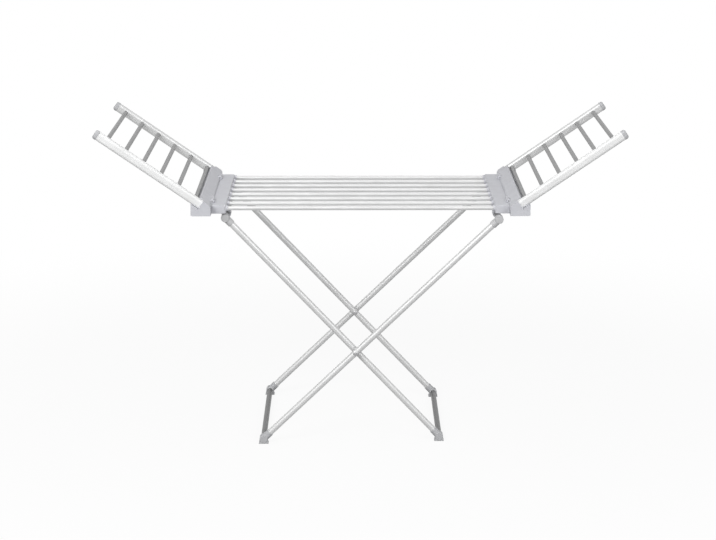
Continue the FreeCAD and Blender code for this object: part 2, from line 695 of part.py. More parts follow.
def connector_bores(body, leg, sign, at, way):
    """The sockets of a corner piece for its leg tube and its cross bar."""
    socket = sketch_on(body, "YZ_Plane", f"{at} {way} connector_reach")
    circle(socket, f"({sign}{LEG_HALF[leg]})", "0", "leg_diameter / 2 + tube_fit")
    pocket(body, socket, "connector_reach - tube_stop", backwards=(way == "-"))
    bar = across(body)
    circle(bar, at, "0", "cross_bar_diameter / 2 + tube_fit")
    pocket(body, bar, f"{LEG_HALF[leg]} + connector_width / 2 - connector_end_wall", backwards=(sign == "-"))


def top_connector(leg, end, sign):
    """Corner piece at the top of a leg tube."""
    body = connector(f"{leg}_leg_{end}_connector", leg, sign, "0", "+")
    connector_bores(body, leg, sign, "0", "+")
    return body


def foot(leg, end, sign):
    """Corner piece at the bottom of a leg tube, with a flat sole on the floor."""
    length = LEG_LENGTH[leg]
    body = connector(f"{leg}_leg_{end}_foot_piece", leg, sign, length, "-")
    sole = across(body, f"({sign}{LEG_HALF[leg]})", shift=(length, "0"), turn=LEG_TILT[leg])
    neck = "(-connector_radius / 4)"
    outline(sole, [("-sole_length / 2", "-foot_axis_height"), ("sole_length / 2", "-foot_axis_height"),
                   ("sole_neck / 2", neck), ("-sole_neck / 2", neck)])
    pad(body, sole, "connector_width - 2 * sole_inset", both_ways=True)
    connector_bores(body, leg, sign, length, "-")
    return body


def leg_tube(leg, end, sign):
    """A leg tube between its two corner pieces, drilled at the crossing."""
    crossing = f"({CROSSING_SHARE} * {LEG_LENGTH[leg]})"
    middle = f"({sign}{LEG_HALF[leg]})"
    body = tube_along_x(f"{leg}_leg_{end}_tube", f"{leg}_leg", middle, "0", "tube_stop",
                        f"{LEG_LENGTH[leg]} - 2 * tube_stop", "leg_diameter", "leg_wall")
    hole = across(body, middle)
    circle(hole, crossing, "0", "rivet_diameter / 2 + rivet_fit")
    pocket(body, hole, both_ways=True)


def leg_frame(leg):
    """One whole leg frame."""
    signs = sides_of(f"{leg}_leg")
    for end, sign in signs.items():
        leg_tube(leg, end, sign)
    bar_length = f"2 * ({LEG_HALF[leg]} + connector_width / 2 - connector_end_wall)"
    tube_along_y(f"{leg}_leg_top_bar", f"{leg}_leg", "0", "0", bar_length, "cross_bar_diameter",
                 "cross_bar_wall")
    tube_along_y(f"{leg}_leg_foot_bar", f"{leg}_leg", LEG_LENGTH[leg], "0", bar_length,
                 "cross_bar_diameter", "cross_bar_wall")
    group(f"{leg}_leg_top_connectors", [top_connector(leg, end, sign) for end, sign in signs.items()])
    group(f"{leg}_leg_feet", [foot(leg, end, sign) for end, sign in signs.items()])


def crossing_rivet(end, sign):
    """The rivet on which the two frames turn, through a tube of each."""
    body = new_body(f"{end}_crossing_rivet", "inner_leg", is_node=False)
    profile = sketch_on(body, "XY_Plane", shift=(f"{CROSSING_SHARE} * {LEG_LENGTH['inner']}", "0"))
    near_end = f"({LEG_HALF['inner']} - leg_diameter / 2 - spacer_room)"
    far_end = f"({LEG_HALF['outer']} + leg_diameter / 2 + spacer_room)"
    shank = "(rivet_diameter / 2)"
    head = "(rivet_head / 2)"
    dome = f"(({head}^2 + rivet_head_height^2) / (2 * rivet_head_height))"
    low_tip = f"({near_end} - rivet_head_height)"
    high_tip = f"({far_end} + rivet_head_height)"
    corners = [("0", low_tip), (head, near_end), (shank, near_end), (shank, far_end), (head, far_end),
               ("0", high_tip)]
    middles = {0: ("0", f"{low_tip} + {dome}"), 4: ("0", f"{high_tip} - {dome}")}
    outline(profile, [(x, f"{sign}({y})") for x, y in corners],
            {number: (x, f"{sign}({y})") for number, (x, y) in middles.items()})
    revolve(body, profile, "V_Axis")
    return body


def crossing_spacer(end, sign):
    """The washer that keeps the two frames apart on the rivet."""
    body = new_body(f"{end}_crossing_spacer", "inner_leg", is_node=False)
    ring = across(body, f"({sign}({LEG_HALF['inner']} + {LEG_HALF['outer']}) / 2)")
    crossing = f"({CROSSING_SHARE} * {LEG_LENGTH['inner']})"
    circle(ring, crossing, "0", "spacer_diameter / 2")
    circle(ring, crossing, "0", "rivet_diameter / 2 + rivet_fit")
    pad(body, ring, "leg_offset - leg_diameter - 2 * spacer_room", both_ways=True)
    return body


# Switch, cord inlet and wiring pieces of the right end box

SWITCH_X = "(-switch_place)"
INLET_X = "(-inlet_place)"
CUP_HALF_LENGTH = "(switch_length / 2 - switch_rim)"
CUP_HALF_HEIGHT = "(switch_height / 2 - switch_rim)"
WELL_HALF_LENGTH = "(switch_length / 2 - 2 * switch_rim)"
WELL_HALF_HEIGHT = "(switch_height / 2 - 2 * switch_rim)"


def rear_wall_openings(body):
    """Openings of the right end housing's rear wall for the switch and the cord inlet."""
    window = across(body, END_HALF)
    centred_rectangle(window, SWITCH_X, BOX_MIDDLE, f"{CUP_HALF_LENGTH} + cover_fit",
                      f"{CUP_HALF_HEIGHT} + cover_fit")
    pocket(body, window, "2 * box_wall", backwards=True)
    hole = across(body, END_HALF)
    circle(hole, INLET_X, BOX_MIDDLE, "inlet_radius + cover_fit")
    pocket(body, hole, "inlet_depth + cover_fit", backwards=True)


def switch_frame():
    """Fixed frame of the rocker switch: a flange outside the wall and a cup through it."""
    body = new_body("switch_frame", "right_end")
    flange = across(body, END_HALF)
    centred_rectangle(flange, SWITCH_X, BOX_MIDDLE, "switch_length / 2", "switch_height / 2")
    pad(body, flange, "switch_flange", backwards=True)
    cup = across(body, END_HALF)
    centred_rectangle(cup, SWITCH_X, BOX_MIDDLE, CUP_HALF_LENGTH, CUP_HALF_HEIGHT)
    pad(body, cup, "switch_depth")
    well = across(body, f"({END_HALF} + switch_flange)")
    centred_rectangle(well, SWITCH_X, BOX_MIDDLE, WELL_HALF_LENGTH, WELL_HALF_HEIGHT)
    pocket(body, well, "switch_flange + 2 * rocker_depth", backwards=True)
    pivot = sketch_on(body, "XY_Plane", BOX_MIDDLE)
    circle(pivot, SWITCH_X, END_HALF, "rocker_pin_radius + pin_fit")
    pocket(body, pivot, f"2 * ({WELL_HALF_HEIGHT} + rocker_pin_bite + pin_fit)", both_ways=True)


def switch_rocker():
    """Rocker with its two pivot pins, tilted to its off position."""
    body = new_body("switch_rocker", "right_end")
    half = f"({WELL_HALF_LENGTH} - rocker_room)"
    base = f"({half} - rocker_taper)"
    shape = sketch_on(body, "XY_Plane", BOX_MIDDLE, shift=(SWITCH_X, END_HALF), turn="rocker_tilt")
    outline(shape, [(f"-{base}", "-rocker_depth"), (base, "-rocker_depth"), (half, "rocker_rise"),
                    ("0", "rocker_rise - rocker_dip"), (f"-{half}", "rocker_rise")])
    pad(body, shape, f"2 * ({WELL_HALF_HEIGHT} - rocker_room)", both_ways=True)
    pins = sketch_on(body, "XY_Plane", BOX_MIDDLE)
    circle(pins, SWITCH_X, END_HALF, "rocker_pin_radius")
    pad(body, pins, f"2 * ({WELL_HALF_HEIGHT} + rocker_pin_bite)", both_ways=True)


def cord_inlet():
    """Bushing through which a mains cord enters the box."""
    body = new_body("cord_inlet", "right_end")
    profile = sketch_on(body, "XY_Plane", BOX_MIDDLE, shift=(INLET_X, END_HALF))
    brow = "(inlet_flange / 2)"
    outline(profile, [("inlet_bore_radius", "-inlet_depth"), ("inlet_radius", "-inlet_depth"),
                      ("inlet_radius", "0"), ("inlet_flange_radius", "0"), ("inlet_flange_radius", brow),
                      (f"inlet_flange_radius - {brow}", "inlet_flange"),
                      ("inlet_bore_radius", "inlet_flange")])
    revolve(body, profile, "V_Axis")


def terminal_block():
    """Terminal block under the roof of the right end box, with a row of wire entries."""
    body = new_body("terminal_block", "right_end")
    middle = "(-hinge_wall - cover_fit - terminal_width / 2)"
    profile = across(body)
    rectangle(profile, f"{middle} - terminal_width / 2", f"{END_ROOF} - terminal_height",
              f"{middle} + terminal_width / 2", END_ROOF)
    pad(body, profile, "terminal_count * terminal_spacing", both_ways=True)
    entry = sketch_on(body, "XY_Plane", f"({END_ROOF} - terminal_height)")
    circle(entry, middle, "-terminal_spacing * (terminal_count - 1) / 2", "terminal_bore / 2")
    cut = pocket(body, entry, "terminal_height / 2", backwards=True)
    repeat(body, cut, "Y_Axis", "terminal_spacing", "terminal_count")


def thermal_cutout():
    """Round thermal cut-out under the roof of the right end box."""
    body = new_body("thermal_cutout", "right_end")
    disc = sketch_on(body, "XY_Plane", END_ROOF)
    circle(disc, "-hinge_wall - cover_fit - cutout_radius", "cutout_place", "cutout_radius")
    pad(body, disc, "cutout_height", backwards=True)


# The whole airer

panel_bars()
end_housing("left")
rear_wall_openings(end_housing("right"))
left_end_cover()
right_end_cover()
hinge_pins()
switch_frame()
switch_rocker()
cord_inlet()
terminal_block()
thermal_cutout()
wing("left")
wing("right")
leg_frame("inner")
leg_frame("outer")
group("crossing_rivets", [crossing_rivet(end, sign) for end, sign in sides_of("inner_leg").items()])
group("crossing_spacers", [crossing_spacer(end, sign) for end, sign in sides_of("inner_leg").items()])
doc.recompute()

# Every piece is whole before anything is written

for item in doc.Objects:
    if "Invalid" in item.State or "Error" in item.State:
        raise RuntimeError(f"{item.Label} failed: {item.State}")
    if item.TypeId == "PartDesign::Pocket" and item.Shape.Volume >= item.BaseFeature.Shape.Volume:
        raise RuntimeError(f"{item.Label} cuts nothing")
for node in nodes:
    if node.Shape.isNull() or not node.Shape.isValid():
        raise RuntimeError(f"{node.Label} has no sound shape")

os.makedirs("parts", exist_ok=True)
for node in nodes:
    node.Shape.exportStep(f"parts/{node.Label}.step")
    print(f"{node.Label}: {len(node.Shape.Solids)} solid(s), {node.Shape.Volume / 1000:.1f} cm3")
print(f"{len(nodes)} pieces")
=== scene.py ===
# %% [markdown]
# # A heated clothes airer
# A flat panel of heated tubes stands on two crossed leg frames, and a ladder of heated tubes is hinged to each
# end of it. The shapes and the hinges come from a CAD model, in metres, with the floor at zero height. This
# lesson puts that model in a plain white studio, gives every piece the finish of the real one, and adds the small
# pieces that a CAD model leaves out.

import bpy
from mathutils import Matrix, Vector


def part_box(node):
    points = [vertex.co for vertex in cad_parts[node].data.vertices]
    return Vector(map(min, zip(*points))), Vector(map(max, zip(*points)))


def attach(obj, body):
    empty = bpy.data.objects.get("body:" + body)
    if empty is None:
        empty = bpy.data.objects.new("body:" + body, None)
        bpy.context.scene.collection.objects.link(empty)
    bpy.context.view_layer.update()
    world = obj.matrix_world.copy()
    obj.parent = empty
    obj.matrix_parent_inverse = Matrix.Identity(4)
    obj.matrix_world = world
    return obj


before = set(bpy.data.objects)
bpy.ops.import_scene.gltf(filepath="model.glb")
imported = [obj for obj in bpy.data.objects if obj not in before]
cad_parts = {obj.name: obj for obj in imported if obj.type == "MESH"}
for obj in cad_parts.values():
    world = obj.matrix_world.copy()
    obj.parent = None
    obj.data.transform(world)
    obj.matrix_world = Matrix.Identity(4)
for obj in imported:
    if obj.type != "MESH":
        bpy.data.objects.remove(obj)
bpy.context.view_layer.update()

# %% [markdown]
# ## The camera
# A product photographer stands well back with a long lens, so that the tubes hardly converge. A camera could be
# placed by eye, but the sizes of the airer are known, so the place, the tilt and the lens below were worked out
# from the places of the feet, the rail tips and the ends of the tubes in the photograph. The photograph is 716
# pixels wide, and its lens is given in pixels, so one line turns that into the millimetres that Blender asks for.

# %% Camera
from math import radians

import bpy

PHOTO_WIDTH = 716
FOCAL_PIXELS = 2001.5
SENSOR_WIDTH = 36.0
CAMERA_PLACE = (-0.0302, -5.7458, 1.8397)
CAMERA_DOWN = 13.55
CAMERA_RIGHT = 0.24


def put_in_scene(name, data):
    """A new object of the scene from its data."""
    thing = bpy.data.objects.new(name, data)
    bpy.context.scene.collection.objects.link(thing)
    return thing


camera = put_in_scene("camera", bpy.data.cameras.new("camera"))
camera.location = CAMERA_PLACE
camera.rotation_euler = (radians(90 - CAMERA_DOWN), 0, radians(-CAMERA_RIGHT))
camera.data.sensor_width = SENSOR_WIDTH
camera.data.lens = FOCAL_PIXELS * SENSOR_WIDTH / PHOTO_WIDTH
bpy.context.scene.camera = camera
bpy.context.scene.view_settings.view_transform = "Standard"
print(f"camera with a {camera.data.lens:.1f} mm lens")

# %% [markdown]
# ## Sums with sockets
# A finish in Blender is a graph of nodes. Linking each node by hand takes many lines of Python, so one small class
# wraps an output socket. Two wrapped sockets, or one and a number, can be added and multiplied like numbers, and
# each sum becomes a Math node. Every other node comes from one method, which takes the node's type, its settings
# and its inputs, and gives back one of its outputs, wrapped again. An input goes by its name, or by its number
# where several inputs of a node share one name.

# %% Socket sums
class Wire:
    """One output of a node tree, ready for sums."""

    def __init__(self, tree, socket=None):
        self.tree = tree
        self.socket = socket

    def node(self, kind, settings=None, inputs=None, output=0):
        """A new node of a kind: its settings first, then the values or wires of its inputs."""
        made = self.tree.nodes.new(kind)
        for name, setting in (settings or {}).items():
            setattr(made, name, setting)
        for name, given in (inputs or {}).items():
            if isinstance(given, Wire):
                self.tree.links.new(given.socket, made.inputs[name])
            else:
                made.inputs[name].default_value = given
        return Wire(self.tree, made.outputs[output] if made.outputs else None)

    def sum_node(self, operation, first, second):
        return self.node("ShaderNodeMath", {"operation": operation}, {0: first, 1: second})

    def __add__(self, other):
        return self.sum_node("ADD", self, other)

    def __radd__(self, other):
        return self.sum_node("ADD", other, self)

    def __sub__(self, other):
        return self.sum_node("SUBTRACT", self, other)

    def __rsub__(self, other):
        return self.sum_node("SUBTRACT", other, self)

    def __mul__(self, other):
        return self.sum_node("MULTIPLY", self, other)

    def __rmul__(self, other):
        return self.sum_node("MULTIPLY", other, self)

    def spread(self, low, high):
        """This wire's levels from low to high, spread out over 0 to 1."""
        return self.node("ShaderNodeMapRange", inputs={"Value": self, "From Min": low, "From Max": high})

    def mix(self, first, second):
        """A colour between two colours, by this wire from 0 to 1."""
        settings = {"data_type": "RGBA", "clamp_factor": True}
        factor, first_colour, second_colour, mixed_colour = 0, 6, 7, 2
        return self.node("ShaderNodeMix", settings,
                         {factor: self, first_colour: first, second_colour: second}, output=mixed_colour)


def new_finish(name):
    """An empty material, and a wire to build its nodes with."""
    finish = bpy.data.materials.new(name)
    finish.use_nodes = True
    finish.node_tree.nodes.clear()
    return finish, Wire(finish.node_tree)


def show_surface(start, surface):
    """Send a shader to the material's output."""
    start.node("ShaderNodeOutputMaterial", inputs={"Surface": surface})


def mix_shaders(factor, first, second):
    """The first shader where the factor is 0, and the second where it is 1."""
    return first.node("ShaderNodeMixShader", inputs={0: factor, 1: first, 2: second})


def rgb(red, green, blue):
    """A colour for a socket."""
    return (red, green, blue, 1.0)


def place_on_piece(start):
    """The place on the piece, in metres, which stays on it when it moves."""
    return start.node("ShaderNodeTexCoord", output="Object")


def noise(place, scale, layers=4.0):
    """Cloudy noise at a place, with finer and finer layers."""
    return place.node("ShaderNodeTexNoise", inputs={"Vector": place, "Scale": scale, "Detail": layers})


print("socket sums ready")

# %% [markdown]
# ## White studio
# The background of a catalogue picture is pure white. More light could make it so, but would bleach the airer
# too, so the white comes from the floor and the sky themselves: to the camera and to reflections they look white,
# and to all other light they are a plain floor and a soft sky of a light grey. A white floor would hide the shadow
# as well, so near the airer a share of what the camera sees there is matt white paper, which the soft boxes light
# and the tubes shade. Further out that share fades away.

# %% Floor and sky
import bmesh

FLOOR_SIZE = 60.0
FLOOR_SQUARES = 8
FLOOR_COLOUR = rgb(0.36, 0.36, 0.36)
WHITE = rgb(1.0, 1.0, 1.0)
WHITE_STRENGTH = 1.0
PAPER_SHARE = 0.09
PAPER_FADES_FROM = 0.8
PAPER_FADES_TO = 2.6
SKY_LIGHT = 0.15


def seen_directly(start):
    """1 for what the camera, a reflection or glass sees, and 0 for the light that falls on things."""
    path = "ShaderNodeLightPath"
    seen = start.node(path, output="Is Camera Ray")
    for kind in ("Is Glossy Ray", "Is Transmission Ray"):
        seen = seen.node("ShaderNodeMath", {"operation": "MAXIMUM"}, {0: seen, 1: start.node(path, output=kind)})
    return seen


def make_floor():
    """A wide flat floor at zero height."""
    shape = bmesh.new()
    bmesh.ops.create_grid(shape, x_segments=FLOOR_SQUARES, y_segments=FLOOR_SQUARES, size=FLOOR_SIZE / 2)
    mesh = bpy.data.meshes.new("studio_floor")
    shape.to_mesh(mesh)
    shape.free()
    floor = put_in_scene("studio_floor", mesh)
    finish, start = new_finish("studio_floor")
    grey = start.node("ShaderNodeBsdfDiffuse", inputs={"Color": FLOOR_COLOUR})
    white = start.node("ShaderNodeEmission", inputs={"Color": WHITE, "Strength": WHITE_STRENGTH})
    paper = start.node("ShaderNodeBsdfDiffuse", inputs={"Color": WHITE})
    away = start.node("ShaderNodeVectorMath", {"operation": "LENGTH"}, {0: place_on_piece(start)}, output="Value")
    paper_share = start.node("ShaderNodeMapRange", {"interpolation_type": "SMOOTHSTEP"}, {
        "Value": away, "From Min": PAPER_FADES_FROM, "From Max": PAPER_FADES_TO,
        "To Min": PAPER_SHARE, "To Max": 0.0})
    show_surface(start, mix_shaders(seen_directly(start), grey, mix_shaders(paper_share, white, paper)))
    mesh.materials.append(finish)


def make_sky():
    """A sky that looks white and lights softly."""
    world = bpy.data.worlds.new("studio_sky")
    bpy.context.scene.world = world
    world.use_nodes = True
    world.node_tree.nodes.clear()
    start = Wire(world.node_tree)
    strength = SKY_LIGHT + seen_directly(start) * (WHITE_STRENGTH - SKY_LIGHT)
    sky = start.node("ShaderNodeBackground", inputs={"Color": WHITE, "Strength": strength})
    start.node("ShaderNodeOutputWorld", inputs={"Surface": sky})


make_floor()
make_sky()
print(f"floor {FLOOR_SIZE} m wide, white sky")

# %% [markdown]
# ## Soft boxes
# Satin tubes show their shape by where the light comes from. One lamp or a sun would draw hard streaks along them,
# so two wide soft boxes stand in front, above the camera and to its sides. The left one is stronger, so that each
# tube has a bright and a darker flank. A weak third one hangs overhead. At these powers a colour renders about as
# it is written.

# %% Lights
from mathutils import Vector

AIM = Vector((0.0, 0.0, 0.5))
SOFT_BOXES = {
    "left_box": {"place": (-2.5, -3.9, 3.3), "size": (2.8, 2.2), "power": 146.0},
    "right_box": {"place": (2.7, -3.9, 2.9), "size": (2.8, 2.2), "power": 90.0},
    "top_box": {"place": (-0.3, 0.2, 4.6), "size": (4.2, 3.0), "power": 32.0},
}

for name, box in SOFT_BOXES.items():
    light = bpy.data.lights.new(name, "AREA")
    light.shape = "RECTANGLE"
    light.size, light.size_y = box["size"]
    light.energy = box["power"]
    lamp = put_in_scene(name, light)
    lamp.location = box["place"]
    lamp.rotation_euler = (AIM - lamp.location).to_track_quat("-Z", "Y").to_euler()
print(f"{len(SOFT_BOXES)} soft boxes")

# %% [markdown]
# ## Satin aluminium
# The legs, rails and bars are drawn aluminium tube with a satin anodised skin: fine lines run along each tube, and
# the skin is a little cloudy from handling. An anisotropic shader could stretch the highlight, but shows no lines,
# so a noise texture stretched along the tube gives them. The tubes lie in different directions, so the finish first
# turns its coordinates until the tube runs along X. The anodised skin scatters light like paint as well as like
# metal, and the metal share of each kind of tube says how much.

# %% Aluminium finish
LINES_ALONG = 5.0
LINES_ACROSS = 900.0
LINE_SHARE = 0.25
LINE_DEPTH = 0.00012
LINE_RELIEF = 0.07
CLOUD_SCALE = 18.0
SMEAR_SCALE = 70.0
NOISE_LOW = 0.25
NOISE_HIGH = 0.75
DARK_PARTS = (0.92, 0.922, 0.922)
LIGHT_PARTS = (1.07, 1.075, 1.075)
SATIN_ROUGHNESS = 0.36
LINE_ROUGHNESS = 0.05
SMEAR_ROUGHNESS = 0.10


def toned(tone, parts):
    """A grey tone, changed a little in each part of the colour."""
    return rgb(*(tone * part for part in parts))


def satin_aluminium(name, tone, metal_share, turn_axis, turn):
    """Drawn and anodised tube of a grey tone, whose length runs along X once it is turned about an axis."""
    finish, start = new_finish(name)
    turned = start.node("ShaderNodeVectorRotate", {"rotation_type": turn_axis},
                        {"Vector": place_on_piece(start), "Angle": radians(turn)})
    stretched = start.node("ShaderNodeVectorMath", {"operation": "MULTIPLY"},
                           {0: turned, 1: (LINES_ALONG, LINES_ACROSS, LINES_ACROSS)})
    lines = noise(stretched, 1.0, layers=3.0)
    clouds = noise(turned, CLOUD_SCALE, layers=3.0)
    smears = noise(turned, SMEAR_SCALE)
    shade = (LINE_SHARE * lines + (1 - LINE_SHARE) * clouds).spread(NOISE_LOW, NOISE_HIGH)
    relief = start.node("ShaderNodeBump", inputs={"Strength": LINE_RELIEF, "Distance": LINE_DEPTH, "Height": lines})
    metal = start.node("ShaderNodeBsdfPrincipled", inputs={
        "Base Color": shade.mix(toned(tone, DARK_PARTS), toned(tone, LIGHT_PARTS)),
        "Metallic": metal_share,
        "Roughness": SATIN_ROUGHNESS + LINE_ROUGHNESS * lines + SMEAR_ROUGHNESS * smears,
        "Normal": relief})
    show_surface(start, metal)
    return finish


print(f"drawn lines about {1000 / LINES_ACROSS:.1f} mm apart")

# %% [markdown]
# The legs and the panel's bars are pale grey. The front rails get a nearly white tone and the rear rails a darker
# one, though the rails are alike, so the difference between them is painted light and shade. The wings' bars are
# the same tubes as the panel's, and their dark grey tone is painted shade on tubes that run from front to back. The
# cross bars of the legs get a dark grey tone too. One material could serve them all and read its tone from each
# object, but a material of its own for each kind of tube is easier to follow. Each row below has the word that the
# names of such pieces share, then the tone, the metal share, and the turn that lays the tube along X.

# %% Aluminium by kind of tube
WING_SLOPE = 34.66
INNER_SLOPE = 46.68
OUTER_SLOPE = 43.99
TUBES = [
    ("panel_bar", 0.70, 0.4, "X_AXIS", 0),
    # The wings' bars are the same tubes as the panel's; their dark tone is painted shade.
    ("wing_bar", 0.28, 0.5, "Z_AXIS", 90),
    # The front rail's paler tone is painted light and the rear rail's darker tone painted shade, on alike rails.
    ("left_wing_front_rail", 0.94, 0.05, "Y_AXIS", -WING_SLOPE),
    ("left_wing_rear_rail", 0.64, 0.5, "Y_AXIS", -WING_SLOPE),
    # Likewise on the right: painted light on the front rail, painted shade on the rear one.
    ("right_wing_front_rail", 0.94, 0.05, "Y_AXIS", WING_SLOPE),
    ("right_wing_rear_rail", 0.64, 0.5, "Y_AXIS", WING_SLOPE),
    ("foot_bar", 0.18, 0.5, "Z_AXIS", 90),
    ("top_bar", 0.18, 0.5, "Z_AXIS", 90),
    ("inner_leg", 0.70, 0.3, "Y_AXIS", -INNER_SLOPE),
    ("outer_leg", 0.70, 0.3, "Y_AXIS", OUTER_SLOPE),
]
aluminium = [(word, satin_aluminium(f"satin_{word}", *kind)) for word, *kind in TUBES]
print(f"{len(aluminium)} aluminium finishes")

# %% [markdown]
# ## Moulded plastic
# The boxes, caps and feet are moulded in cool grey plastics with a fine even grain from the tool, the switch and the
# inlet in a dark one, and the cut-out in a brown one. The grain is a small bump. Handling leaves the edges paler and
# smoother. They could be painted by hand, but it is enough to compare the surface's own direction with the rounded
# one that the Bevel node gives: the two differ only near an edge. Each plastic has a darker and a paler tone, the
# tone of its edges, and a roughness.

# %% Plastic finishes
GRAIN_SCALE = 1300.0
GRAIN_DEPTH = 0.0001
GRAIN_RELIEF = 0.3
FLOW_SCALE = 30.0
FLOW_SHARE = 0.7
FLOW_LOW = 0.35
FLOW_HIGH = 0.65
FLOW_ROUGHNESS = 0.12
EDGE_WIDTH = 0.0012
EDGE_SAMPLES = 4
EDGE_STARTS = 0.995
EDGE_FULL = 0.85
EDGE_SHARE = 0.6
EDGE_POLISH = 0.08
PLASTICS = {
    "grey": [rgb(0.635, 0.64, 0.68), rgb(0.695, 0.70, 0.74), rgb(0.765, 0.77, 0.80), 0.44],
    "pale": [rgb(0.52, 0.525, 0.54), rgb(0.60, 0.605, 0.62), rgb(0.70, 0.70, 0.71), 0.44],
    "pivot": [rgb(0.56, 0.562, 0.57), rgb(0.63, 0.632, 0.64), rgb(0.70, 0.70, 0.71), 0.44],
    "dark": [rgb(0.018, 0.018, 0.02), rgb(0.026, 0.026, 0.028), rgb(0.06, 0.06, 0.06), 0.36],
    "brown": [rgb(0.06, 0.03, 0.02), rgb(0.09, 0.05, 0.03), rgb(0.14, 0.09, 0.06), 0.44],
}


def moulded_plastic(name, dark, light, edge, rough):
    """Grained plastic with soft tone changes and paler edges."""
    finish, start = new_finish(name)
    place = place_on_piece(start)
    pits = noise(place, GRAIN_SCALE, layers=2.0)
    flow = noise(place, FLOW_SCALE)
    rounded = start.node("ShaderNodeBevel", {"samples": EDGE_SAMPLES}, {"Radius": EDGE_WIDTH})
    own = start.node("ShaderNodeNewGeometry", output="Normal")
    agreement = start.node("ShaderNodeVectorMath", {"operation": "DOT_PRODUCT"}, {0: rounded, 1: own}, output="Value")
    edges = agreement.spread(EDGE_STARTS, EDGE_FULL)
    shade = (FLOW_SHARE * flow + (1 - FLOW_SHARE) * pits).spread(FLOW_LOW, FLOW_HIGH)
    relief = start.node("ShaderNodeBump", inputs={
        "Strength": GRAIN_RELIEF, "Distance": GRAIN_DEPTH, "Height": pits, "Normal": rounded})
    plastic = start.node("ShaderNodeBsdfPrincipled", inputs={
        "Base Color": (EDGE_SHARE * edges).mix(shade.mix(dark, light), edge),
        "Roughness": rough + FLOW_ROUGHNESS * flow - EDGE_POLISH * edges,
        "Normal": relief})
    show_surface(start, plastic)
    return finish


plastics = {word: moulded_plastic(f"moulded_{word}", *kind) for word, kind in PLASTICS.items()}
print(f"{len(plastics)} plastic finishes")

# %% [markdown]
# ## Plated steel and silicone
# The hinge pins and the screws are bright zinc plated steel, and the rivets of the legs a duller, darker one. One
# plain metal would look like chrome, so a Voronoi texture gives the small crystals of the plating. Each steel has a
# darker and a paler tone and a roughness. The heating cords inside the bars are matt silicone rubber. They hardly
# show, but a finish goes with every piece.

# %% Steel and silicone finishes
CRYSTAL_SCALE = 700.0
CRYSTAL_SHARE = 0.5
PLATING_CLOUD_SCALE = 160.0
PLATING_CLOUD_SHARE = 0.6
PLATING_CLOUD_ROUGHNESS = 0.16
STEELS = {
    "bright": [rgb(0.40, 0.40, 0.41), rgb(0.62, 0.62, 0.62), 0.24],
    "dull": [rgb(0.29, 0.29, 0.295), rgb(0.43, 0.43, 0.435), 0.34],
}
BLOOM_SCALE = 220.0
RUBBER_DARK = rgb(0.62, 0.60, 0.55)
RUBBER_LIGHT = rgb(0.76, 0.74, 0.70)
RUBBER_ROUGHNESS = 0.6
BLOOM_ROUGHNESS = 0.25


def plated_steel(name, dark, light, rough):
    """Zinc plating: a cloudy metal with small crystals."""
    finish, start = new_finish(name)
    place = place_on_piece(start)
    crystals = start.node("ShaderNodeTexVoronoi", inputs={"Vector": place, "Scale": CRYSTAL_SCALE})
    clouds = noise(place, PLATING_CLOUD_SCALE)
    shade = CRYSTAL_SHARE * crystals + PLATING_CLOUD_SHARE * clouds
    metal = start.node("ShaderNodeBsdfPrincipled", inputs={
        "Base Color": shade.mix(dark, light), "Metallic": 1.0,
        "Roughness": rough + PLATING_CLOUD_ROUGHNESS * clouds})
    show_surface(start, metal)
    return finish


def silicone(name):
    """Matt rubber with a dusty bloom."""
    finish, start = new_finish(name)
    bloom = noise(place_on_piece(start), BLOOM_SCALE, layers=5.0)
    rubber = start.node("ShaderNodeBsdfPrincipled", inputs={
        "Base Color": bloom.mix(RUBBER_DARK, RUBBER_LIGHT), "Roughness": RUBBER_ROUGHNESS + BLOOM_ROUGHNESS * bloom})
    show_surface(start, rubber)
    return finish


steels = {word: plated_steel(f"{word}_steel", *kind) for word, kind in STEELS.items()}
cord_silicone = silicone("cord_silicone")
print(f"{len(steels)} steel finishes and one of silicone")

# %% [markdown]
# ## Dressing the CAD pieces
# Each CAD piece gets its finish by its name. A list of all the names would be long, so the list goes from the
# particular to the general, and the first word that fits a name decides.

# %% Finishes by name
FINISH_BY_NAME = [
    ("heating_cords", cord_silicone),
    ("hinge_pins", steels["bright"]),
    ("rivets", steels["dull"]),
    ("top_connectors", plastics["pivot"]),
    ("spacers", plastics["pivot"]),
    ("tip_caps", plastics["pale"]),
    ("feet", plastics["pale"]),
    *aluminium,
    ("switch", plastics["dark"]),
    ("inlet", plastics["dark"]),
    ("terminal", plastics["pale"]),
    ("cutout", plastics["brown"]),
    ("housing", plastics["grey"]),
    ("cover", plastics["grey"]),
]

for name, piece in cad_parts.items():
    finish = next(finish for word, finish in FINISH_BY_NAME if word in name)
    piece.data.materials.clear()
    piece.data.materials.append(finish)
print(f"{len(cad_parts)} CAD pieces dressed")

# %% [markdown]
# ## Cover screws
# Each box is closed from below by a cover, and small pan head screws hold it. A screw head is a turned dome with a
# cross cut into its top. A boolean could cut the cross, but leaves untidy faces, so the head is built up instead:
# the dome comes from rings of points, the top ring is filled as far as a cross-shaped hole, and the hole gets walls
# and a floor. One mesh holds all the screws of a body.

# %% Screws
from math import atan2, cos, pi, sin

SCREW_SEGMENTS = 24
SCREW_RINGS = [(0.0034, -0.0003), (0.0034, 0.0006), (0.00318, 0.0012), (0.0027, 0.00165), (0.0021, 0.0019)]
CROSS_WIDTH = 0.0009
CROSS_REACH = 0.0015
CROSS_DEPTH = 0.0011
CROSS_TAPER = 0.8


def circle_of(radius, count):
    """Points of a circle about the middle."""
    angles = [2 * pi * number / count for number in range(count)]
    return [(radius * cos(angle), radius * sin(angle)) for angle in angles]


